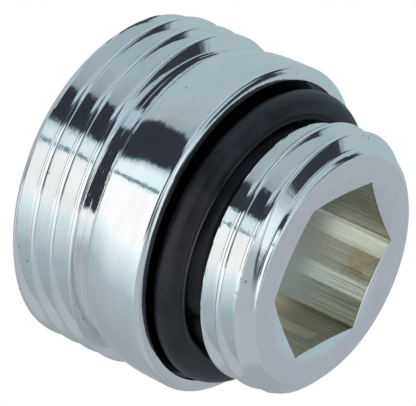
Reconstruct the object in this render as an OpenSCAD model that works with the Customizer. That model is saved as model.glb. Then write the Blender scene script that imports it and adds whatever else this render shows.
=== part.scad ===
// Radiator connection adapter: a short turned brass nipple with a 3/4 inch pipe thread and a cone seat at the
// back, a smooth collar in the middle, and a 1/2 inch pipe thread with a hexagonal key socket at the front.
// A loose rubber ring lies on the neck between the collar and the small thread.
// The large end's face lies on z = 0, the axis is Z, and the key socket opens upward.

/* [Length] */
// Overall length from the large end's face to the small end's face
total_length = 20.9; // [20.7:0.1:21.4]
// Height of the collar's front rim
rim_z = 12.84; // [12.8:0.01:12.9]
// Height of the front end of the large thread
large_thread_end_z = 6.5; // [6.4:0.05:6.6]
// Height where the collar's shoulder starts to round off toward the relief groove
shoulder_end_z = 7.52; // [7.45:0.01:7.6]

/* [Threads] */
// Pitch of both threads, 14 turns to the inch
thread_pitch = 1.8143; // [1.75:0.0001:1.85]
// Angle between the flanks of both threads
flank_angle = 55; // [50:1:60]
// Crest diameter of the large thread
large_crest_d = 26.441; // [26.3:0.001:26.5]
// Crest diameter of the small thread
small_crest_d = 20.955; // [20.8:0.001:21.1]
// Height of a crest of the large thread at the side that faces -Y
large_crest_z = 0.693; // [0:0.001:1.8]
// Height of a crest of the small thread at the side that faces -Y
small_crest_z = 16.163; // [15.9:0.001:16.4]
// Straight pieces in one turn of a thread
thread_steps = 48; // [36:4:60]

/* [Collar] */
// Diameter of the collar at its front edge
collar_d = 26.26; // [26.1:0.01:26.36]
// Diameter of the collar at the fine line round its middle
collar_mid_d = 26.17; // [26.1:0.01:26.2]
// Height of the fine line round the collar
collar_line_z = 10.2; // [10:0.05:10.4]
// Diameter of the ring seat sunk into the collar's front face
seat_d = 24.2; // [24.1:0.05:24.3]
// Height of the seat's floor
seat_z = 12.61; // [12.5:0.01:12.65]
// Diameter of the neck that carries the ring
neck_d = 18.64; // [18.4:0.01:18.7]
// Diameter of the floor of the relief groove behind the collar
groove_d = 24; // [23.8:0.05:24.1]

/* [Ends] */
// Diameter of the large end's face inside its chamfer
back_face_d = 24.5; // [24.2:0.1:24.8]
// Diameter of the small end's face inside its chamfer
front_face_d = 18.4; // [18.2:0.05:19]
// Length of the small end's chamfer
front_chamfer = 1.08; // [1:0.01:1.2]
// Radius that breaks the edge of the small end's face
face_edge_r = 0.3; // [0.1:0.05:0.4]

/* [Key socket] */
// Width of the hexagonal socket across its flats
socket_af = 12.28; // [12.1:0.01:12.4]
// Turn of the socket about the axis
socket_turn = 2.8; // [0:0.1:59]
// Diameter of the shallow dish round the socket's mouth
dish_d = 14.26; // [14.1:0.01:14.5]
// Slope of the dish
dish_angle = 13; // [10:1:20]

/* [Cone seat] */
// Diameter of the straight part of the seat in the large end
cone_bore_d = 18.3; // [18.1:0.05:18.5]
// Depth of the straight part
cone_bore_depth = 3; // [2.5:0.1:3.5]
// Angle of the seat's cone to the axis
cone_half_angle = 15; // [14:0.5:16]
// Diameter at the narrow end of the cone
cone_end_d = 15.2; // [15:0.1:15.6]
// Chamfer at the mouth of the seat
mouth_chamfer = 0.4; // [0.2:0.05:0.5]

/* [Rubber ring] */
// Diameter of the circle through the middle of the ring's section
ring_d = 21.3; // [21.2:0.01:21.4]
// Thickness of the ring
ring_thickness = 2.3; // [2.2:0.01:2.35]
// Height of the ring's centre
ring_z = 14.04; // [14.04:0.01:14.2]
// Tilt of the ring on its neck, lower on the side that faces +X
ring_tilt = 1.45; // [0:0.05:1.5]

/* [Hidden] */
$fn = 120;
chrome = [0.78, 0.80, 0.82];
rubber = [0.07, 0.07, 0.08];
// Space that a cut runs past the surface where it starts
past = 1;
// How far a thread ridge is rooted in the metal below it
ridge_root = 0.3;
// Space between a thread's crest and the shape that trims the thread's ends
crest_room = 0.05;
// Flank slope as width for each unit of height, and the height and rounding of a Whitworth thread form
flank_slope = tan(flank_angle / 2);
sharp_height = thread_pitch / 2 / flank_slope;
thread_height = sharp_height * 2 / 3;
form_radius = 0.137329 * thread_pitch;
// Height and half width, inside the round crest or root, of the point where the rounding meets the flank
round_height = form_radius * (1 - sin(flank_angle / 2));
round_width = form_radius * cos(flank_angle / 2);
large_crest_r = large_crest_d / 2;
large_root_r = large_crest_r - thread_height;
small_crest_r = small_crest_d / 2;
small_root_r = small_crest_r - thread_height;
collar_r = collar_d / 2;
groove_r = groove_d / 2;
seat_r = seat_d / 2;
neck_r = neck_d / 2;
back_chamfer = large_crest_r - back_face_d / 2;
// Length of the sloping wall from the large thread down to the groove's floor
groove_wall = 0.3;
groove_start_z = large_thread_end_z + groove_wall;
// The small thread rises out of the neck along this 45 degree chamfer
neck_end_z = 15.59;
small_thread_start_z = neck_end_z + small_crest_r - neck_r;
front_chamfer_z = total_length - front_chamfer;
// The shoulder behind the collar's fine line: a slow curve, a cone, then a round end
shoulder_curve_z = 9.6;
shoulder_curve_r = collar_mid_d / 2 - 0.045;
shoulder_cone_z = 9.1;
shoulder_cone_r = collar_mid_d / 2 - 0.115;
shoulder_angle = 12.5;
shoulder_round_r = 0.9;
// The fine line is a step of this height and depth below the collar's front half
line_width = 0.02;
line_depth = 0.025;
shoulder_round_top_r = shoulder_cone_r - (shoulder_cone_z - shoulder_end_z) * tan(shoulder_angle);
shoulder_steps = 7;
// The rim's crown falls this far from the seat's edge to the collar's edge
rim_fall = 0.44;
rim_steps = 6;
edge_steps = 3;
// Whole turns of thread ridge laid below and above the crest that is given, before the ends are trimmed
turns_below = 1;
turns_above = 4;

// Height over which the dish's cone is cut, down to inside the socket
dish_rise = 1;

// Points of an arc of radius r about c, each [radius, height], from angle a0 to angle a1
function arc(c, r, a0, a1, steps) =
    [for (i = [0:steps]) let (a = a0 + (a1 - a0) * i / steps) c + r * [cos(a), sin(a)]];

// The round end of the shoulder, from the groove's floor up to the cone, each point [radius, height]
function shoulder_round() =
    let (c = [shoulder_round_top_r - shoulder_round_r * cos(shoulder_angle),
              shoulder_end_z + shoulder_round_r * sin(shoulder_angle)],
         floor_angle = acos((groove_r - c[0]) / shoulder_round_r))
    arc(c, shoulder_round_r, -floor_angle, -shoulder_angle, shoulder_steps);

// The crowned rim, from the collar's edge in to the seat's edge: a quarter of an ellipse
function rim_crown() =
    [for (i = [0:rim_steps]) let (a = 90 * i / rim_steps)
        [seat_r + (collar_r - seat_r) * cos(a), rim_z - rim_fall * (1 - sin(a))]];

// The metal outside the bore up to the threads' roots, each point [radius, height]
function blank_outline() = concat(
    [[0, 0], [large_root_r, 0], [large_root_r, large_thread_end_z], [groove_r, groove_start_z]],
    shoulder_round(),
    [[shoulder_cone_r, shoulder_cone_z], [shoulder_curve_r, shoulder_curve_z],
     [collar_mid_d / 2 - line_depth, collar_line_z - line_width], [collar_mid_d / 2, collar_line_z]],
    rim_crown(),
    [[seat_r, seat_z], [neck_r, seat_z], [neck_r, total_length], [0, total_length]]);

// The shape that trims the large thread to its end face, its chamfer and the groove's wall
function large_thread_outline() =
    let (trim_r = large_crest_r + crest_room,
         wall_rise = crest_room * groove_wall / (large_crest_r - groove_r))
    [[large_root_r - ridge_root, 0], [back_face_d / 2, 0], [trim_r, back_chamfer + crest_room],
     [trim_r, large_thread_end_z - wall_rise], [groove_r, groove_start_z],
     [large_root_r - ridge_root, groove_start_z]];

// The shape that trims the small thread to its start, its chamfer and the broken edge of the end's face
function small_thread_outline() =
    let (slope = atan2(front_chamfer, small_crest_r - front_face_d / 2),
         set_back = face_edge_r * tan(slope / 2),
         trim_r = small_crest_r + crest_room)
    concat(
        [[small_root_r - ridge_root, neck_end_z], [neck_r, neck_end_z],
         [trim_r, small_thread_start_z + crest_room], [trim_r, front_chamfer_z - crest_room * tan(slope)]],
        arc([front_face_d / 2 - set_back, total_length - face_edge_r], face_edge_r, 90 - slope, 90,
            edge_steps),
        [[small_root_r - ridge_root, total_length]]);

// Half of a Whitworth ridge from its foot to its crest, each point [half width, radius]
function ridge_half(crest_r) =
    let (root_r = crest_r - thread_height,
         foot = thread_pitch / 2 - form_radius * sin(flank_angle / 2),
         foot_rise = form_radius * (1 - cos(flank_angle / 2)))
    [[foot, root_r - ridge_root], [foot, root_r + foot_rise],
     [thread_pitch / 2 - round_width, root_r + round_height],
     [round_width, crest_r - round_height],
     [form_radius * sin(flank_angle / 2), crest_r - foot_rise]];

// The whole section of the ridge, up one side, over the crest and down the other
function ridge_section(crest_r) =
    let (half = ridge_half(crest_r), n = len(half))
    concat([for (p = half) [-p[0], p[1]]], [[0, crest_r]], [for (i = [n - 1:-1:0]) half[i]]);

// One helical ridge, right-handed, with a crest at height crest_z on the side that faces -Y
module helical_ridge(crest_r, crest_z) {
    section = ridge_section(crest_r);
    n = len(section);
    first = -turns_below * thread_steps;
    last = turns_above * thread_steps;
    rings = last - first + 1;
    points = [for (i = [first:last]) let (a = i * 360 / thread_steps - 90)
              for (p = section)
              [p[1] * cos(a), p[1] * sin(a), crest_z + thread_pitch * i / thread_steps + p[0]]];
    sides = [for (i = [0:rings - 2]) for (j = [0:n - 1]) let (k = (j + 1) % n)
             each [[i * n + j, i * n + k, (i + 1) * n + j], [i * n + k, (i + 1) * n + k, (i + 1) * n + j]]];
    start_cap = [[for (j = [n - 1:-1:0]) j]];
    end_cap = [[for (j = [0:n - 1]) (rings - 1) * n + j]];
    polyhedron(points = points, faces = concat(sides, start_cap, end_cap));
}

module large_thread() {
    intersection() {
        rotate_extrude() polygon(large_thread_outline());
        helical_ridge(large_crest_r, large_crest_z);
    }
}

module small_thread() {
    intersection() {
        rotate_extrude() polygon(small_thread_outline());
        helical_ridge(small_crest_r, small_crest_z);
    }
}

// The straight mouth, the cone and the chamfer of the seat in the large end
module cone_seat() {
    cone_length = (cone_bore_d - cone_end_d) / 2 / tan(cone_half_angle);
    translate([0, 0, -past]) cylinder(h = cone_bore_depth + past, d = cone_bore_d);
    translate([0, 0, cone_bore_depth]) cylinder(h = cone_length, d1 = cone_bore_d, d2 = cone_end_d);
    translate([0, 0, -past])
        cylinder(h = mouth_chamfer + past, d1 = cone_bore_d + 2 * (mouth_chamfer + past), d2 = cone_bore_d);
}

// The hexagonal socket, which runs through to the cone seat, with the shallow dish round its mouth
module key_socket() {
    socket_r = socket_af / 2 / cos(30);
    rotate([0, 0, socket_turn])
        translate([0, 0, cone_bore_depth]) cylinder(h = total_length, r = socket_r, $fn = 6);
    translate([0, 0, total_length - dish_rise])
        cylinder(h = dish_rise, r1 = dish_d / 2 - dish_rise / tan(dish_angle), r2 = dish_d / 2);
}

// The chromed brass body, turned in one piece
module adapter_body() {
    color(chrome)
    difference() {
        union() {
            rotate_extrude() polygon(blank_outline());
            large_thread();
            small_thread();
        }
        cone_seat();
        key_socket();
    }
}

// The black rubber ring, lying a little crooked on the neck
module o_ring() {
    color(rubber)
    translate([0, 0, ring_z]) rotate([0, ring_tilt, 0])
        rotate_extrude() translate([ring_d / 2, 0]) circle(d = ring_thickness, $fn = 48);
}

adapter_body();
o_ring();
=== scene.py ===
import math

import bpy
import numpy as np
from mathutils import Matrix


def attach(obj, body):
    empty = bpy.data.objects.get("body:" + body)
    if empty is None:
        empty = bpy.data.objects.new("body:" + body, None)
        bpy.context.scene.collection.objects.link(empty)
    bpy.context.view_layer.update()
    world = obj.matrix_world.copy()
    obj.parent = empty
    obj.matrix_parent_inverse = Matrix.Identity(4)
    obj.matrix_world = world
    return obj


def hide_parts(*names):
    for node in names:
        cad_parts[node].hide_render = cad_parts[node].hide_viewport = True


MM = 0.001
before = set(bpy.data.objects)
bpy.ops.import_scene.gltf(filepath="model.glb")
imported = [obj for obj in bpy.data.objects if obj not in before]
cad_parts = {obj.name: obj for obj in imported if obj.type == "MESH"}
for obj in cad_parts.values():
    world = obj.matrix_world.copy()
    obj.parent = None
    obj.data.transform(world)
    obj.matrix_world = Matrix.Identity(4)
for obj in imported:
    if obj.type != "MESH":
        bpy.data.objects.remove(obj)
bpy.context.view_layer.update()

# Sizes, in millimetres
TOTAL_LENGTH = 20.9
PITCH = 1.8143
FLANK = math.radians(55) / 2
LARGE_CREST_R = 26.441 / 2
SMALL_CREST_R = 20.955 / 2
LARGE_CREST_Z = 0.693
SMALL_CREST_Z = 16.163
SHARP_HEIGHT = PITCH / 2 / math.tan(FLANK)
THREAD_HEIGHT = SHARP_HEIGHT * 2 / 3
FORM_RADIUS = 0.137329 * PITCH
BACK_FACE_R = 12.25
LARGE_THREAD_END = 6.5
GROOVE_R = 12.0
GROOVE_CORNER = 0.03
SHOULDER_START = 7.85
SHOULDER_ANGLE = math.radians(12.5)
SHOULDER_ROUND = 0.87
CONE_END = 9.1
CONE_END_FALL = 0.115
COLLAR_R = 13.13
COLLAR_MID_R = 13.085
COLLAR_LINE = 10.2
SEAT_R = 12.1
SEAT_Z = 12.61
RIM_Z = 12.84
RIM_FALL = 0.44
NECK_R = 9.32
NECK_END = 15.59
FRONT_FACE_R = 9.2
FRONT_CHAMFER = 1.08
FACE_EDGE = 0.3
SOCKET_AF = 12.28
SOCKET_TURN = math.radians(2.8)
DISH_R = 7.13
DISH_ANGLE = math.radians(13)
SEAT_BORE_R = 9.15
SEAT_BORE_DEPTH = 3.0
SEAT_CONE = math.radians(15)
SEAT_CONE_END_R = 7.6
SEAT_MOUTH = 0.4
LIP = 0.05
RING_R = 21.3 / 2
RING_THICK = 2.3
RING_Z = 14.04
RING_TILT = math.radians(1.45)

AZIMUTH_STEPS = 180
LARGE_ROWS = 205
SMALL_ROWS = 155
RING_ROWS = 48
OUTLINE_STEPS = 2400
CREST_CLOSENESS = 3.0
ROOT_CLOSENESS = 1.5
FLANK_CLOSENESS = 0.7
BODY_SHARP = math.radians(34)
RING_SHARP = math.radians(60)


def whitworth(offset, crest_r):
    """Radius of a Whitworth thread at a distance from the nearest crest along the axis: a circle's arc over
    the crest, a straight flank, and the same arc turned over in the root."""
    a = np.abs(offset)
    edge = FORM_RADIUS * math.cos(FLANK)
    rise = FORM_RADIUS * (1 - math.sin(FLANK))
    crest = crest_r - FORM_RADIUS + np.sqrt(np.maximum(FORM_RADIUS**2 - a**2, 0))
    flank = crest_r - rise - (a - edge) / math.tan(FLANK)
    b = PITCH / 2 - a
    root = crest_r - THREAD_HEIGHT + FORM_RADIUS - np.sqrt(np.maximum(FORM_RADIUS**2 - b**2, 0))
    return np.where(a < edge, crest, np.where(b < edge, root, flank))


def thread_zone(z0, z1, crest_r, crest_z, azimuth, trim, floor_r, rows):
    """Radius and height of a threaded stretch, one column for each azimuth. The thread's form is shifted
    along the axis by the pitch for each turn, and kept under the trimming line and over the floor's radius.
    Its points are spread along the outline's length, closer over the crests and the roots than on the
    flanks."""
    z = np.linspace(z0, z1, OUTLINE_STEPS)
    shift = crest_z + PITCH * (azimuth + math.pi / 2) / (2 * math.pi)
    offset = (z[:, None] - shift[None, :] + PITCH / 2) % PITCH - PITCH / 2
    r = np.maximum(np.minimum(whitworth(offset, crest_r), trim(z)[:, None]), floor_r)
    away = np.abs(offset[1:])
    over_root = away > PITCH / 2 - FORM_RADIUS * math.cos(FLANK)
    over_crest = away < FORM_RADIUS * math.cos(FLANK)
    closeness = np.where(over_crest, CREST_CLOSENESS, np.where(over_root, ROOT_CLOSENESS, FLANK_CLOSENESS))
    step = np.hypot(np.diff(r, axis=0), np.diff(z)[:, None]) * closeness
    run = np.vstack([np.zeros(len(azimuth)), np.cumsum(step, axis=0)])
    even = np.linspace(0, 1, rows)
    zs = np.stack([np.interp(even * run[-1, i], run[:, i], z) for i in range(len(azimuth))], axis=1)
    rs = np.stack([np.interp(zs[:, i], z, r[:, i]) for i in range(len(azimuth))], axis=1)
    return rs, zs


def rounded(corners, steps=3):
    """A line of [radius, height, rounding] corners as points, each rounded corner as an arc that touches both
    of its sides."""
    p = np.array([c[:2] for c in corners], float)
    out = [p[0]]
    for i in range(1, len(p) - 1):
        rounding = corners[i][2]
        if rounding == 0:
            out.append(p[i])
            continue
        back, on = p[i - 1] - p[i], p[i + 1] - p[i]
        back, on = back / np.linalg.norm(back), on / np.linalg.norm(on)
        half = math.acos(np.clip(back @ on, -1, 1)) / 2
        centre = p[i] + (back + on) / np.linalg.norm(back + on) * rounding / math.sin(half)
        first, last = p[i] + back * rounding / math.tan(half), p[i] + on * rounding / math.tan(half)
        a, b = first - centre, last - centre
        for t in np.linspace(0, 1, steps + 1):
            d = a * (1 - t) + b * t
            out.append(centre + d / np.linalg.norm(d) * rounding)
    out.append(p[-1])
    return np.array(out)


def circle_arc(centre, radius, a0, a1, steps):
    """Points of a circle's arc, from angle a0 to a1, in even steps."""
    a = np.linspace(a0, a1, steps + 1)
    return np.stack([centre[0] + radius * np.cos(a), centre[1] + radius * np.sin(a)], axis=1)


def large_trim(z):
    """Radius under which the large thread stays: a 45 degree chamfer at the end."""
    return np.minimum(BACK_FACE_R + z, LARGE_CREST_R)


def small_trim(z):
    """Radius under which the small thread stays: a 45 degree rise out of the neck, and the front chamfer."""
    slope = (SMALL_CREST_R - FRONT_FACE_R) / FRONT_CHAMFER
    return np.minimum(NECK_R + z - NECK_END,
                      SMALL_CREST_R - np.maximum(z - (TOTAL_LENGTH - FRONT_CHAMFER), 0) * slope)


def collar_outline():
    """Radius and height from the groove's floor over the shoulder, the collar, its rim and the ring's seat to
    the end of the neck."""
    cone_r = COLLAR_MID_R - CONE_END_FALL
    top_r = cone_r - (CONE_END - SHOULDER_START) * math.tan(SHOULDER_ANGLE)
    centre = (top_r - SHOULDER_ROUND * math.cos(SHOULDER_ANGLE),
              SHOULDER_START + SHOULDER_ROUND * math.sin(SHOULDER_ANGLE))
    foot = math.acos((GROOVE_R - centre[0]) / SHOULDER_ROUND)
    shoulder = circle_arc(centre, SHOULDER_ROUND, -foot, -SHOULDER_ANGLE, 10)
    # the slow curve from the shoulder's cone to the collar's fine line
    slow = np.array([[cone_r, CONE_END], [COLLAR_MID_R - 0.08, 9.35], [COLLAR_MID_R - 0.045, 9.65],
                     [COLLAR_MID_R - 0.027, 9.95], [COLLAR_MID_R - 0.025, COLLAR_LINE - 0.02]])
    a = np.linspace(0, math.pi / 2, 9)
    crown = np.stack([SEAT_R + (COLLAR_R - SEAT_R) * np.cos(a), RIM_Z - RIM_FALL * (1 - np.sin(a))], axis=1)
    front = np.array([[COLLAR_MID_R, COLLAR_LINE], [COLLAR_MID_R + 0.011, 10.8], [COLLAR_R - 0.015, 11.6]])
    seat = rounded([[SEAT_R, RIM_Z, 0], [SEAT_R, SEAT_Z, 0.08], [NECK_R, SEAT_Z, 0.15],
                    [NECK_R, NECK_END, 0]])
    groove = [[GROOVE_R + GROOVE_CORNER, LARGE_THREAD_END], [GROOVE_R, LARGE_THREAD_END + GROOVE_CORNER],
              [GROOVE_R, (LARGE_THREAD_END + shoulder[0, 1]) / 2]]
    return np.vstack([groove, shoulder, slow, front, crown, seat[1:-1]])


def body_grid():
    """The whole body as rows of points: each row goes once round the axis, and the rows go from the large
    end's face outside over the threads and the collar to the small end's face, in through the key socket and
    back through the cone seat."""
    azimuth = SOCKET_TURN + np.arange(AZIMUTH_STEPS) * 2 * math.pi / AZIMUTH_STEPS
    one = np.ones(len(azimuth))
    slope = math.atan2(FRONT_CHAMFER, SMALL_CREST_R - FRONT_FACE_R)
    edge_c = (FRONT_FACE_R - FACE_EDGE * math.tan(slope / 2), TOTAL_LENGTH - FACE_EDGE)
    edge = circle_arc(edge_c, FACE_EDGE, math.pi / 2 - slope, math.pi / 2, 6)
    large = thread_zone(0, LARGE_THREAD_END, LARGE_CREST_R, LARGE_CREST_Z, azimuth, large_trim, 0, LARGE_ROWS)
    small = thread_zone(NECK_END, edge[0, 1], SMALL_CREST_R, SMALL_CREST_Z, azimuth, small_trim, edge[0, 0],
                        SMALL_ROWS)
    # a row close to the groove's corner keeps its wall flat beside the smooth flank
    wall = (large[0][-1:] - GROOVE_CORNER / 2, large[1][-1:])
    # the hexagon's own radius at each azimuth
    turn = (azimuth - SOCKET_TURN) % (math.pi / 3) - math.pi / 6
    hexagon = SOCKET_AF / 2 / np.cos(turn)

    def turned(points):
        return points[:, :1] * one, points[:, 1:] * one

    def dish(r):
        return TOTAL_LENGTH - np.maximum(DISH_R - r, 0) * math.tan(DISH_ANGLE)

    face = np.linspace(edge[-1, 0], DISH_R, 5)[1:]
    cone_end_z = SEAT_BORE_DEPTH + (SEAT_BORE_R - SEAT_CONE_END_R) / math.tan(SEAT_CONE)
    seat = rounded([[SEAT_CONE_END_R - 0.3, cone_end_z, 0], [SEAT_CONE_END_R, cone_end_z, 0],
                    [SEAT_BORE_R, SEAT_BORE_DEPTH, 0.1], [SEAT_BORE_R, SEAT_MOUTH, 0],
                    [SEAT_BORE_R + SEAT_MOUTH, 0, 0], [BACK_FACE_R - 0.25, 0, 0]])
    parts = [large, wall, turned(collar_outline()), small, turned(edge[1:]),
             turned(np.stack([face, np.full(len(face), TOTAL_LENGTH)], axis=1))]
    r = hexagon * 0.4 + DISH_R * 0.6
    parts.append((r[None], dish(r)[None]))
    # the broken edge of the socket's mouth, with a row close to it on either side
    for inward, down in ((1.5, 0), (1, 0), (0.3, 0.3), (0, 1), (0, 1.5)):
        r = hexagon + inward * LIP
        parts.append((r[None], (dish(r) - down * LIP)[None]))
    mouth = dish(hexagon) - 1.5 * LIP
    for t in np.linspace(0, 1, 13)[1:]:
        parts.append((hexagon[None], (mouth * (1 - t) + cone_end_z * t)[None]))
    parts.append(turned(seat[1:]))
    r = np.vstack([p[0] for p in parts])
    z = np.vstack([p[1] for p in parts])
    return np.stack([r * np.cos(azimuth), r * np.sin(azimuth), z], axis=2)


def closed_grid(name, points, sharp):
    """A mesh from a grid of points that closes on itself both ways. Edges sharper than the angle stay so."""
    rows, cols = points.shape[:2]
    i, j = np.meshgrid(np.arange(rows), np.arange(cols), indexing="ij")
    down, on = (i + 1) % rows, (j + 1) % cols
    quads = np.stack([i * cols + j, i * cols + on, down * cols + on, down * cols + j], axis=2)
    quads = quads.reshape(-1, 4)
    mesh = bpy.data.meshes.new(name)
    mesh.from_pydata((points.reshape(-1, 3) * MM).tolist(), [], quads.tolist())
    mesh.validate()
    mesh.shade_smooth()
    mesh.set_sharp_from_angle(angle=sharp)
    obj = bpy.data.objects.new(name, mesh)
    bpy.context.scene.collection.objects.link(obj)
    return obj


def ring_grid():
    """The rubber ring: a circle carried round a larger circle, tilted on the neck."""
    a, b = np.meshgrid(np.linspace(0, 2 * math.pi, RING_ROWS, endpoint=False),
                       np.linspace(0, 2 * math.pi, AZIMUTH_STEPS, endpoint=False), indexing="ij")
    r = RING_R + RING_THICK / 2 * np.cos(a)
    x, y, z = r * np.cos(b), r * np.sin(b), RING_THICK / 2 * np.sin(a)
    c, s = math.cos(RING_TILT), math.sin(RING_TILT)
    return np.stack([x * c + z * s, y, -x * s + z * c + RING_Z], axis=2)


def add(tree, kind, **values):
    """A shader node with its input values set."""
    node = tree.nodes.new(kind)
    for key, value in values.items():
        node.inputs[key].default_value = value
    return node


def in_millimetres(tree, vector):
    """A place on a piece in millimetres."""
    scaled = tree.nodes.new("ShaderNodeVectorMath")
    scaled.operation = "SCALE"
    scaled.inputs["Scale"].default_value = 1 / MM
    tree.links.new(vector, scaled.inputs[0])
    return scaled.outputs[0]


def math_node(tree, operation, a, b=None, c=None):
    """One arithmetic step on sockets or numbers."""
    node = tree.nodes.new("ShaderNodeMath")
    node.operation = operation
    for slot_at, value in enumerate((a, b, c)):
        if value is None:
            continue
        if isinstance(value, (int, float)):
            node.inputs[slot_at].default_value = value
        else:
            tree.links.new(value, node.inputs[slot_at])
    return node.outputs[0]


def smooth_range(tree, value, low, high, out_low=0.0, out_high=1.0):
    """A value carried smoothly from one range to another."""
    node = tree.nodes.new("ShaderNodeMapRange")
    node.interpolation_type = "SMOOTHSTEP"
    tree.links.new(value, node.inputs["Value"])
    for key, number in (("From Min", low), ("From Max", high), ("To Min", out_low), ("To Max", out_high)):
        node.inputs[key].default_value = number
    return node.outputs["Result"]


def mixed(tree, factor, a, b):
    """Two colours mixed by a factor; each may be a socket or a colour."""
    node = tree.nodes.new("ShaderNodeMix")
    node.data_type = "RGBA"
    for at, value in ((0, factor), (6, a), (7, b)):
        if isinstance(value, (int, float)):
            node.inputs[at].default_value = value
        elif isinstance(value, tuple):
            node.inputs[at].default_value = (*value, 1.0)
        else:
            tree.links.new(value, node.inputs[at])
    return node.outputs[2]


# Tones of the room round the part
WHITE = (1.08, 1.09, 1.09)
BRIGHT = (0.86, 1.00, 1.04)
PALE = (0.66, 0.78, 0.81)
COOL = (0.42, 0.53, 0.57)
BLUE = (0.52, 0.64, 0.73)
GREY = (0.41, 0.475, 0.505)
SOFT = (0.355, 0.40, 0.425)
LAVENDER = (0.41, 0.44, 0.49)
MIST = (0.45, 0.49, 0.53)
SLATE = (0.055, 0.08, 0.105)
TEAL = (0.09, 0.22, 0.28)
BLACK = (0.035, 0.038, 0.05)
# Each ring of the room lists its tones by azimuth in degrees, 0 toward the camera and growing toward +X
WALL = ((-180, LAVENDER), (-168, COOL), (-70, COOL), (-52, GREY), (-14, TEAL), (-11, PALE), (-8, BRIGHT),
        (1, BRIGHT), (7, WHITE), (40, WHITE), (47, BRIGHT), (60, PALE), (78, COOL), (95, GREY), (125, SOFT),
        (150, SOFT), (172, LAVENDER), (180, LAVENDER))
UPPER_RING = ((-180, BRIGHT), (-150, PALE), (-120, COOL), (-62, BLUE), (-40, GREY), (-30, BRIGHT),
              (-2, BRIGHT), (10, PALE), (28, GREY), (150, GREY), (168, BRIGHT), (180, BRIGHT))
CEILING = ((-180, BRIGHT), (-95, BRIGHT), (-70, BLUE), (-55, GREY), (-30, COOL), (18, COOL), (36, SLATE),
           (118, SLATE), (140, GREY), (180, BRIGHT))


def studio_world():
    """A pale room in three rings, walls, upper ring and ceiling, with lighter and darker patches over them,
    such as the tall black card. The tones change by azimuth, and the rings pass into each other by height.
    The part mirrors this room, and the camera sees plain white."""
    world = bpy.data.worlds.new("studio")
    bpy.context.scene.world = world
    world.use_nodes = True
    tree = world.node_tree
    tree.nodes.clear()
    coord = tree.nodes.new("ShaderNodeTexCoord")
    split = tree.nodes.new("ShaderNodeSeparateXYZ")
    tree.links.new(coord.outputs["Generated"], split.inputs[0])
    x, y, z = split.outputs
    toward = math_node(tree, "MULTIPLY", y, -1.0)
    azimuth = math_node(tree, "DEGREES", math_node(tree, "ARCTAN2", x, toward))
    height = math_node(tree, "DEGREES", math_node(tree, "ARCSINE", z))

    def ring(tones):
        ramp = tree.nodes.new("ShaderNodeValToRGB")
        line = ramp.color_ramp
        while len(line.elements) < len(tones):
            line.elements.new(0.5)
        for element, (at, tone) in zip(line.elements, tones):
            element.position = (at + 180) / 360
            element.color = (*tone, 1)
        tree.links.new(math_node(tree, "MULTIPLY_ADD", azimuth, 1 / 360, 0.5), ramp.inputs[0])
        return ramp.outputs[0]

    def edge(at, slant, soft, rising):
        """A soft edge at an azimuth that shifts with height by the slant."""
        shifted = math_node(tree, "MULTIPLY_ADD", height, -slant, azimuth)
        before, after = (0.0, 1.0) if rising else (1.0, 0.0)
        return smooth_range(tree, shifted, at - soft / 2, at + soft / 2, before, after)

    def card(left, right, bottom, top):
        """A patch of directions between two side edges, each (azimuth at the horizon, slant, softness), and
        two heights, each (height, softness)."""
        masks = [edge(*left, True), edge(*right, False),
                 smooth_range(tree, height, bottom[0] - bottom[1] / 2, bottom[0] + bottom[1] / 2),
                 smooth_range(tree, height, top[0] - top[1] / 2, top[0] + top[1] / 2, 1.0, 0.0)]
        out = masks[0]
        for mask in masks[1:]:
            out = math_node(tree, "MULTIPLY", out, mask)
        return out

    colour = mixed(tree, smooth_range(tree, height, 54.0, 62.0), ring(WALL), ring(UPPER_RING))
    colour = mixed(tree, smooth_range(tree, height, 70.0, 80.0), colour, ring(CEILING))
    for (left, right, bottom, top), tone in (
        # the lighter wall beside the black card, above the horizon
        (((-74, 0, 16), (-30, 0, 8), (-16, 8), (44, 16)), BLUE),
        # the lighter wall on the other side, above the horizon
        (((60, 0, 16), (150, 0, 16), (26, 8), (62, 8)), MIST),
        # the tall black card, wider below
        (((-29, 0, 4), (-12.5, 0, 3), (-16, 10), (60, 14)), BLACK),
        (((-25, 0.48, 4), (-14, 0, 2.5), (-90, 1), (-16, 10)), BLACK),
        # the fine gap in the white card
        (((0.6, 0, 1.6), (3.2, 0, 1.6), (-64, 6), (-16, 8)), TEAL),
        # the dark window in the upper wall behind
        (((-178, 0.5, 8), (-146, 0.5, 6), (37, 5), (67, 4)), BLACK),
        # the dark strips at the height of the lens, beside it and round it
        (((-136, 0, 6), (-47, 0, 4), (25, 4), (40, 5)), BLACK),
        (((-30, 0, 4), (35, 0, 4), (25, 4), (60, 5)), BLACK),
    ):
        colour = mixed(tree, card(left, right, bottom, top), colour, tone)
    path = tree.nodes.new("ShaderNodeLightPath")
    room = tree.nodes.new("ShaderNodeBackground")
    tree.links.new(colour, room.inputs["Color"])
    backdrop = tree.nodes.new("ShaderNodeBackground")
    backdrop.inputs["Color"].default_value = (1.0, 1.0, 1.0, 1.0)
    both = tree.nodes.new("ShaderNodeMixShader")
    tree.links.new(path.outputs["Is Camera Ray"], both.inputs[0])
    tree.links.new(room.outputs[0], both.inputs[1])
    tree.links.new(backdrop.outputs[0], both.inputs[2])
    out = tree.nodes.new("ShaderNodeOutputWorld")
    tree.links.new(both.outputs[0], out.inputs["Surface"])


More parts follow.
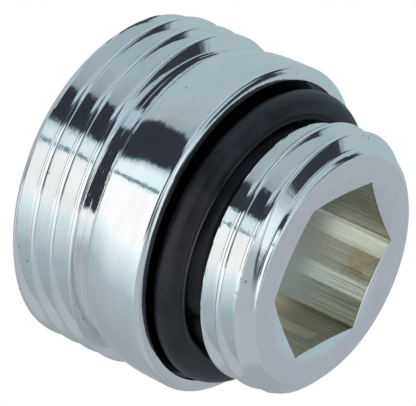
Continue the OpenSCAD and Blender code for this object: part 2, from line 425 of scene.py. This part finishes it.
def pale_floor():
    """The floor under the part: pale to the light, white to the camera, and not seen in the chrome."""
    mesh = bpy.data.meshes.new("floor")
    half = 2.0
    corners = [(-half, -half, 0), (half, -half, 0), (half, half, 0), (-half, half, 0)]
    mesh.from_pydata(corners, [], [(0, 1, 2, 3)])
    floor = bpy.data.objects.new("floor", mesh)
    bpy.context.scene.collection.objects.link(floor)
    material = bpy.data.materials.new("pale_floor")
    material.use_nodes = True
    tree = material.node_tree
    tree.nodes.clear()
    pale = add(tree, "ShaderNodeBsdfDiffuse", Color=(0.85, 0.85, 0.85, 1))
    white = add(tree, "ShaderNodeEmission", Color=(1, 1, 1, 1), Strength=1.0)
    path = tree.nodes.new("ShaderNodeLightPath")
    both = tree.nodes.new("ShaderNodeMixShader")
    tree.links.new(path.outputs["Is Camera Ray"], both.inputs[0])
    tree.links.new(pale.outputs[0], both.inputs[1])
    tree.links.new(white.outputs[0], both.inputs[2])
    out = tree.nodes.new("ShaderNodeOutputMaterial")
    tree.links.new(both.outputs[0], out.inputs["Surface"])
    mesh.materials.append(material)
    floor.visible_glossy = False


# Colours of the finishes, and of the painted shade and painted highlight
CHROME = (0.90, 0.905, 0.91)
WORN_CHROME = (0.86, 0.868, 0.875)
NICKED_CHROME = (0.52, 0.51, 0.49)
BRIGHT_PLATING = (0.66, 0.64, 0.545)
DULL_PLATING = (0.44, 0.42, 0.35)
# painted highlight colour for the socket's walls
PAINTED_HIGHLIGHT_PLATING = (0.98, 0.97, 0.88)
# painted shade colour for the floor of the ring's recess
RECESS_PAINTED_SHADE = (0.07, 0.07, 0.08)
# painted shade colour for the socket's walls deeper in
DEEP_PAINTED_SHADE = (0.54, 0.50, 0.425)
STAIN = (0.46, 0.33, 0.19)
RUBBER = (0.010, 0.0095, 0.0135)
RUBBER_BLOOM = (0.028, 0.025, 0.035)
DUST = (0.30, 0.30, 0.31)


# Where strips of painted highlight lie across the socket's walls, and where they are stained, in millimetres
UPPER_PAINTED_HIGHLIGHT = (-3.55, -2.3)
MIDDLE_PAINTED_HIGHLIGHT = (-0.05, 1.2)
LOWER_PAINTED_HIGHLIGHT = (4.85, 5.5)
LOWER_PAINTED_HIGHLIGHT_DEPTH = (1.2, 4.6)
PAINTED_HIGHLIGHT_EDGE = 0.12
PAINTED_HIGHLIGHT_FADE = (4.2, 7.0)
STAIN_ACROSS = (-2.2, -0.2)
STAIN_DEPTH = (0.2, 3.0)


def new_group(name, inputs, outputs):
    """An empty shader node group with its named inputs and outputs, each (name, kind, start value)."""
    tree = bpy.data.node_groups.new(name, "ShaderNodeTree")
    for title, kind, start in inputs:
        socket = tree.interface.new_socket(title, in_out="INPUT", socket_type=kind)
        if start is not None:
            socket.default_value = start
    for title, kind in outputs:
        tree.interface.new_socket(title, in_out="OUTPUT", socket_type=kind)
    return tree, tree.nodes.new("NodeGroupInput").outputs, tree.nodes.new("NodeGroupOutput").inputs


def placed(tree, group, vector, **values):
    """A group placed in a material, reading the piece's own coordinates, with its values set by name."""
    node = tree.nodes.new("ShaderNodeGroup")
    node.node_tree = group
    tree.links.new(vector, node.inputs["Vector"])
    for title, value in values.items():
        node.inputs[title.replace("_", " ")].default_value = value
    return node.outputs


def noise(tree, vector, scale, detail, rough):
    """The value of a plain noise field."""
    node = add(tree, "ShaderNodeTexNoise", Scale=scale, Detail=detail, Roughness=rough)
    tree.links.new(vector, node.inputs["Vector"])
    return node.outputs["Fac"]


def ring_coordinates(tree, vector):
    """Distance from the axis, the two parts of the direction away from it, and the height, in millimetres."""
    split = tree.nodes.new("ShaderNodeSeparateXYZ")
    tree.links.new(in_millimetres(tree, vector), split.inputs[0])
    x, y, z = split.outputs
    square = math_node(tree, "MULTIPLY", y, y)
    r = math_node(tree, "SQRT", math_node(tree, "MULTIPLY_ADD", x, x, square))
    return r, math_node(tree, "DIVIDE", x, r), math_node(tree, "DIVIDE", y, r), z


def strip(tree, value, low, high, soft):
    """A mask that is 1 between two values, with soft edges."""
    return math_node(tree, "MULTIPLY", smooth_range(tree, value, low - soft / 2, low + soft / 2),
                     smooth_range(tree, value, high - soft / 2, high + soft / 2, 1.0, 0.0))


def turning_marks():
    """Fine lines round the axis, as a lathe leaves them: noise that is stretched round the axis, and changes
    quickly with the height and the distance from the axis."""
    tree, ins, outs = new_group(
        "turning_marks",
        (("Vector", "NodeSocketVector", None), ("Lines per mm", "NodeSocketFloat", 5.0),
         ("Breaks per turn", "NodeSocketFloat", 12.0)),
        (("Lines", "NodeSocketFloat"), ("Wear", "NodeSocketFloat")))
    r, east, north, z = ring_coordinates(tree, ins["Vector"])
    along = math_node(tree, "MULTIPLY", math_node(tree, "MULTIPLY_ADD", r, 0.7, z), ins["Lines per mm"])
    place = tree.nodes.new("ShaderNodeCombineXYZ")
    tree.links.new(math_node(tree, "MULTIPLY", east, ins["Breaks per turn"]), place.inputs[0])
    tree.links.new(math_node(tree, "MULTIPLY", north, ins["Breaks per turn"]), place.inputs[1])
    tree.links.new(along, place.inputs[2])
    tree.links.new(noise(tree, place.outputs[0], 1.0, 2.0, 0.55), outs["Lines"])
    broad = noise(tree, place.outputs[0], 0.31, 3.0, 0.6)
    tree.links.new(smooth_range(tree, broad, 0.40, 0.68), outs["Wear"])
    return tree


def fine_specks():
    """Small scattered spots, such as dust or nicks: cells of a Voronoi pattern whose own random value is low,
    drawn only close to each cell's point."""
    tree, ins, outs = new_group(
        "fine_specks",
        (("Vector", "NodeSocketVector", None), ("Cells per mm", "NodeSocketFloat", 1.0),
         ("Share", "NodeSocketFloat", 0.1), ("Spot", "NodeSocketFloat", 0.1)),
        (("Mask", "NodeSocketFloat"),))
    cells = tree.nodes.new("ShaderNodeTexVoronoi")
    tree.links.new(in_millimetres(tree, ins["Vector"]), cells.inputs["Vector"])
    tree.links.new(ins["Cells per mm"], cells.inputs["Scale"])
    split = tree.nodes.new("ShaderNodeSeparateXYZ")
    tree.links.new(cells.outputs["Color"], split.inputs[0])
    chosen = math_node(tree, "LESS_THAN", split.outputs[0], ins["Share"])
    near = math_node(tree, "LESS_THAN", cells.outputs["Distance"], ins["Spot"])
    tree.links.new(math_node(tree, "MULTIPLY", chosen, near), outs["Mask"])
    return tree


def key_socket_zone():
    """Masks for the inside of the part: the hexagon's walls, from the distance across each pair of its flats,
    with the broach's lines along them, noise that changes mostly round the axis, their strips of painted
    highlight and their stained places, the near half and the side walls that are painted brighter, and the
    floor of the recess that the ring sits in, for painted shade."""
    tree, ins, outs = new_group(
        "key_socket_zone",
        (("Vector", "NodeSocketVector", None), ("Lines round", "NodeSocketFloat", 60.0)),
        (("Inside", "NodeSocketFloat"), ("Broach lines", "NodeSocketFloat"), ("Stain", "NodeSocketFloat"),
         ("Painted highlight", "NodeSocketFloat"), ("Depth", "NodeSocketFloat"), ("Recess shade", "NodeSocketFloat"),
         ("Near side", "NodeSocketFloat"), ("Side walls", "NodeSocketFloat")))
    r, east, north, z = ring_coordinates(tree, ins["Vector"])
    x = math_node(tree, "MULTIPLY", east, r)
    far = math_node(tree, "GREATER_THAN", north, 0.0)
    depth = math_node(tree, "SUBTRACT", TOTAL_LENGTH, z)
    reach = None
    for side in range(3):
        turn = SOCKET_TURN + math.pi / 6 + side * math.pi / 3
        northward = math_node(tree, "MULTIPLY", north, math.sin(turn))
        across = math_node(tree, "MULTIPLY_ADD", east, math.cos(turn), northward)
        flat = math_node(tree, "MULTIPLY", math_node(tree, "ABSOLUTE", across), r)
        reach = flat if reach is None else math_node(tree, "MAXIMUM", reach, flat)
    within = smooth_range(tree, reach, SOCKET_AF / 2 + 0.01, SOCKET_AF / 2 + 0.03, 1.0, 0.0)
    tree.links.new(within, outs["Inside"])
    tree.links.new(depth, outs["Depth"])
    tree.links.new(smooth_range(tree, north, -0.5, -0.3, 1.0, 0.0), outs["Near side"])
    corner = SOCKET_AF / 2 * math.tan(math.pi / 6)
    side_walls = smooth_range(tree, math_node(tree, "ABSOLUTE", x), corner - 0.05, corner + 0.05)
    tree.links.new(side_walls, outs["Side walls"])
    place = tree.nodes.new("ShaderNodeCombineXYZ")
    tree.links.new(math_node(tree, "MULTIPLY", east, ins["Lines round"]), place.inputs[0])
    tree.links.new(math_node(tree, "MULTIPLY", north, ins["Lines round"]), place.inputs[1])
    tree.links.new(math_node(tree, "MULTIPLY", z, 0.06), place.inputs[2])
    tree.links.new(noise(tree, place.outputs[0], 1.0, 2.0, 0.55), outs["Broach lines"])
    # painted highlight: bright strips across the far walls, fading deeper in
    highlight_strips = math_node(tree, "MAXIMUM", strip(tree, x, *UPPER_PAINTED_HIGHLIGHT, PAINTED_HIGHLIGHT_EDGE),
                       strip(tree, x, *MIDDLE_PAINTED_HIGHLIGHT, PAINTED_HIGHLIGHT_EDGE))
    highlight_strips = math_node(tree, "MULTIPLY", highlight_strips, smooth_range(tree, depth, *PAINTED_HIGHLIGHT_FADE, 1.0, 0.0))
    low_highlight_strip = math_node(tree, "MULTIPLY", strip(tree, x, *LOWER_PAINTED_HIGHLIGHT, PAINTED_HIGHLIGHT_EDGE),
                           strip(tree, depth, *LOWER_PAINTED_HIGHLIGHT_DEPTH, 0.4))
    highlight_strips = math_node(tree, "MULTIPLY", math_node(tree, "MAXIMUM", highlight_strips, low_highlight_strip), far)
    tree.links.new(highlight_strips, outs["Painted highlight"])
    # painted shade: a mask over the floor of the ring's recess, between the neck and the seat's wall, under
    # the ring
    seat = math_node(tree, "MULTIPLY", strip(tree, r, NECK_R + 0.1, SEAT_R - 0.01, 0.02),
                     strip(tree, z, SEAT_Z - 0.05, SEAT_Z + 0.03, 0.02))
    tree.links.new(seat, outs["Recess shade"])
    cloud = noise(tree, in_millimetres(tree, ins["Vector"]), 0.9, 3.0, 0.6)
    cloud = smooth_range(tree, cloud, 0.38, 0.62)
    patch = math_node(tree, "MULTIPLY", strip(tree, x, *STAIN_ACROSS, 0.6),
                      strip(tree, depth, *STAIN_DEPTH, 0.8))
    stain = math_node(tree, "MULTIPLY", cloud, math_node(tree, "MULTIPLY", patch, far))
    tree.links.new(stain, outs["Stain"])
    return tree


def chromed_brass(marks, specks, socket_zone):
    """Bright chrome over turned brass: fine turning lines, a little wear, a few nicks outside, and painted
    shade on the floor of the ring's recess. Inside the key socket lies the thin plating that the current
    barely reached, duller and the colour of brass, made darker deeper in by painted shade, with strips of
    painted highlight, its near half and side walls painted brighter as painted reflection, and a stain."""
    material = bpy.data.materials.new("chromed_brass")
    material.use_nodes = True
    tree = material.node_tree
    skin = tree.nodes["Principled BSDF"]
    skin.inputs["Metallic"].default_value = 1.0
    here = tree.nodes.new("ShaderNodeTexCoord").outputs["Object"]
    turned = placed(tree, marks, here, Lines_per_mm=4.5, Breaks_per_turn=12.0)
    nick = placed(tree, specks, here, Cells_per_mm=0.9, Share=0.10, Spot=0.10)["Mask"]
    zone = placed(tree, socket_zone, here, Lines_round=34.0)
    inside = zone["Inside"]
    chrome = mixed(tree, turned["Wear"], CHROME, WORN_CHROME)
    chrome = mixed(tree, nick, chrome, NICKED_CHROME)
    # painted shade: walls deeper than about 4 to 5 mm take a darker warm colour
    deeper_shade = smooth_range(tree, zone["Depth"], 3.6, 5.6)
    plating = mixed(tree, smooth_range(tree, zone["Broach lines"], 0.38, 0.62), DULL_PLATING, BRIGHT_PLATING)
    plating = mixed(tree, deeper_shade, plating, DEEP_PAINTED_SHADE)
    # painted highlight: the two side walls are painted a third of the way to the bright highlight colour
    plating = mixed(tree, math_node(tree, "MULTIPLY", zone["Side walls"], 0.32), plating, PAINTED_HIGHLIGHT_PLATING)
    # painted highlight: the bright strips, streaked along the broach's lines
    streaks = smooth_range(tree, zone["Broach lines"], 0.30, 0.46, 0.6, 1.0)
    highlight_strips = math_node(tree, "MULTIPLY", zone["Painted highlight"], streaks)
    plating = mixed(tree, highlight_strips, plating, PAINTED_HIGHLIGHT_PLATING)
    plating = mixed(tree, math_node(tree, "MULTIPLY", zone["Stain"], 0.75), plating, STAIN)
    # painted reflection: the walls on the near half of the socket are painted in the bright highlight colour
    plating = mixed(tree, zone["Near side"], plating, PAINTED_HIGHLIGHT_PLATING)
    # painted shade: the floor of the ring's recess is painted near-black
    chrome = mixed(tree, zone["Recess shade"], chrome, RECESS_PAINTED_SHADE)
    tree.links.new(mixed(tree, inside, chrome, plating), skin.inputs["Base Color"])
    outer_rough = math_node(tree, "MULTIPLY_ADD", turned["Wear"], 0.05, 0.04)
    inner_rough = math_node(tree, "MULTIPLY_ADD", zone["Broach lines"], 0.22, 0.08)
    rough = math_node(tree, "SUBTRACT", inner_rough, outer_rough)
    rough = math_node(tree, "MULTIPLY_ADD", rough, inside, outer_rough)
    tree.links.new(rough, skin.inputs["Roughness"])
    outer_height = math_node(tree, "MULTIPLY_ADD", nick, -0.6, turned["Lines"])
    # the end face is turned finer than the rest
    finer = smooth_range(tree, zone["Depth"], 0.0, 0.4, 0.3, 1.0)
    outer_height = math_node(tree, "MULTIPLY", outer_height, finer)
    inner_height = math_node(tree, "MULTIPLY", zone["Broach lines"], 2.2)
    height = math_node(tree, "SUBTRACT", inner_height, outer_height)
    height = math_node(tree, "MULTIPLY_ADD", height, inside, outer_height)
    relief = add(tree, "ShaderNodeBump", Strength=1.0, Distance=0.010 * MM)
    tree.links.new(height, relief.inputs["Height"])
    tree.links.new(relief.outputs[0], skin.inputs["Normal"])
    return material


def black_rubber(specks):
    """Smooth black rubber with a faint sheen that changes a little, and a few specks of dust."""
    material = bpy.data.materials.new("black_rubber")
    material.use_nodes = True
    tree = material.node_tree
    skin = tree.nodes["Principled BSDF"]
    skin.inputs["Specular IOR Level"].default_value = 0.42
    here = tree.nodes.new("ShaderNodeTexCoord").outputs["Object"]
    place = in_millimetres(tree, here)
    cloud = noise(tree, place, 0.5, 4.0, 0.6)
    dust = placed(tree, specks, here, Cells_per_mm=0.8, Share=0.10, Spot=0.07)["Mask"]
    rubber = mixed(tree, smooth_range(tree, cloud, 0.35, 0.68), RUBBER, RUBBER_BLOOM)
    tree.links.new(mixed(tree, dust, rubber, DUST), skin.inputs["Base Color"])
    tree.links.new(smooth_range(tree, cloud, 0.3, 0.7, 0.36, 0.46), skin.inputs["Roughness"])
    grain = add(tree, "ShaderNodeBump", Strength=1.0, Distance=0.006 * MM)
    tree.links.new(noise(tree, place, 9.0, 2.0, 0.5), grain.inputs["Height"])
    tree.links.new(grain.outputs[0], skin.inputs["Normal"])
    return material


# The lens in millimetres, the camera's place in millimetres, and its own three directions
CAMERA_LENS = 420.794
CAMERA_PLACE = (-0.6210, -313.1138, 199.1670)
CAMERA_RIGHT = (-0.421028, 0.471678, 0.774761)
CAMERA_UP = (-0.907047, -0.218941, -0.359625)
CAMERA_BACK = (0.0, -0.854158, 0.520014)


def photo_camera():
    """The camera of the photograph, fitted to the threads' crest circles and the outline."""
    camera = bpy.data.cameras.new("photo_camera")
    obj = bpy.data.objects.new("photo_camera", camera)
    bpy.context.scene.collection.objects.link(obj)
    camera.sensor_fit = "HORIZONTAL"
    camera.sensor_width = 36.0
    camera.lens = CAMERA_LENS
    camera.clip_start, camera.clip_end = 0.05, 5.0
    turn = Matrix((CAMERA_RIGHT, CAMERA_UP, CAMERA_BACK)).transposed()
    obj.matrix_world = Matrix.Translation([v * MM for v in CAMERA_PLACE]) @ turn.to_4x4()
    bpy.context.scene.camera = obj


photo_camera()
studio_world()
pale_floor()

body = closed_grid("adapter_body_turned", body_grid(), BODY_SHARP)
specks = fine_specks()
body.data.materials.append(chromed_brass(turning_marks(), specks, key_socket_zone()))
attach(body, "root")
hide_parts("adapter_body")

ring = closed_grid("o_ring_moulded", ring_grid(), RING_SHARP)
ring.data.materials.append(black_rubber(specks))
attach(ring, "root")
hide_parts("o_ring")

scene = bpy.context.scene
scene.view_settings.view_transform = "Standard"
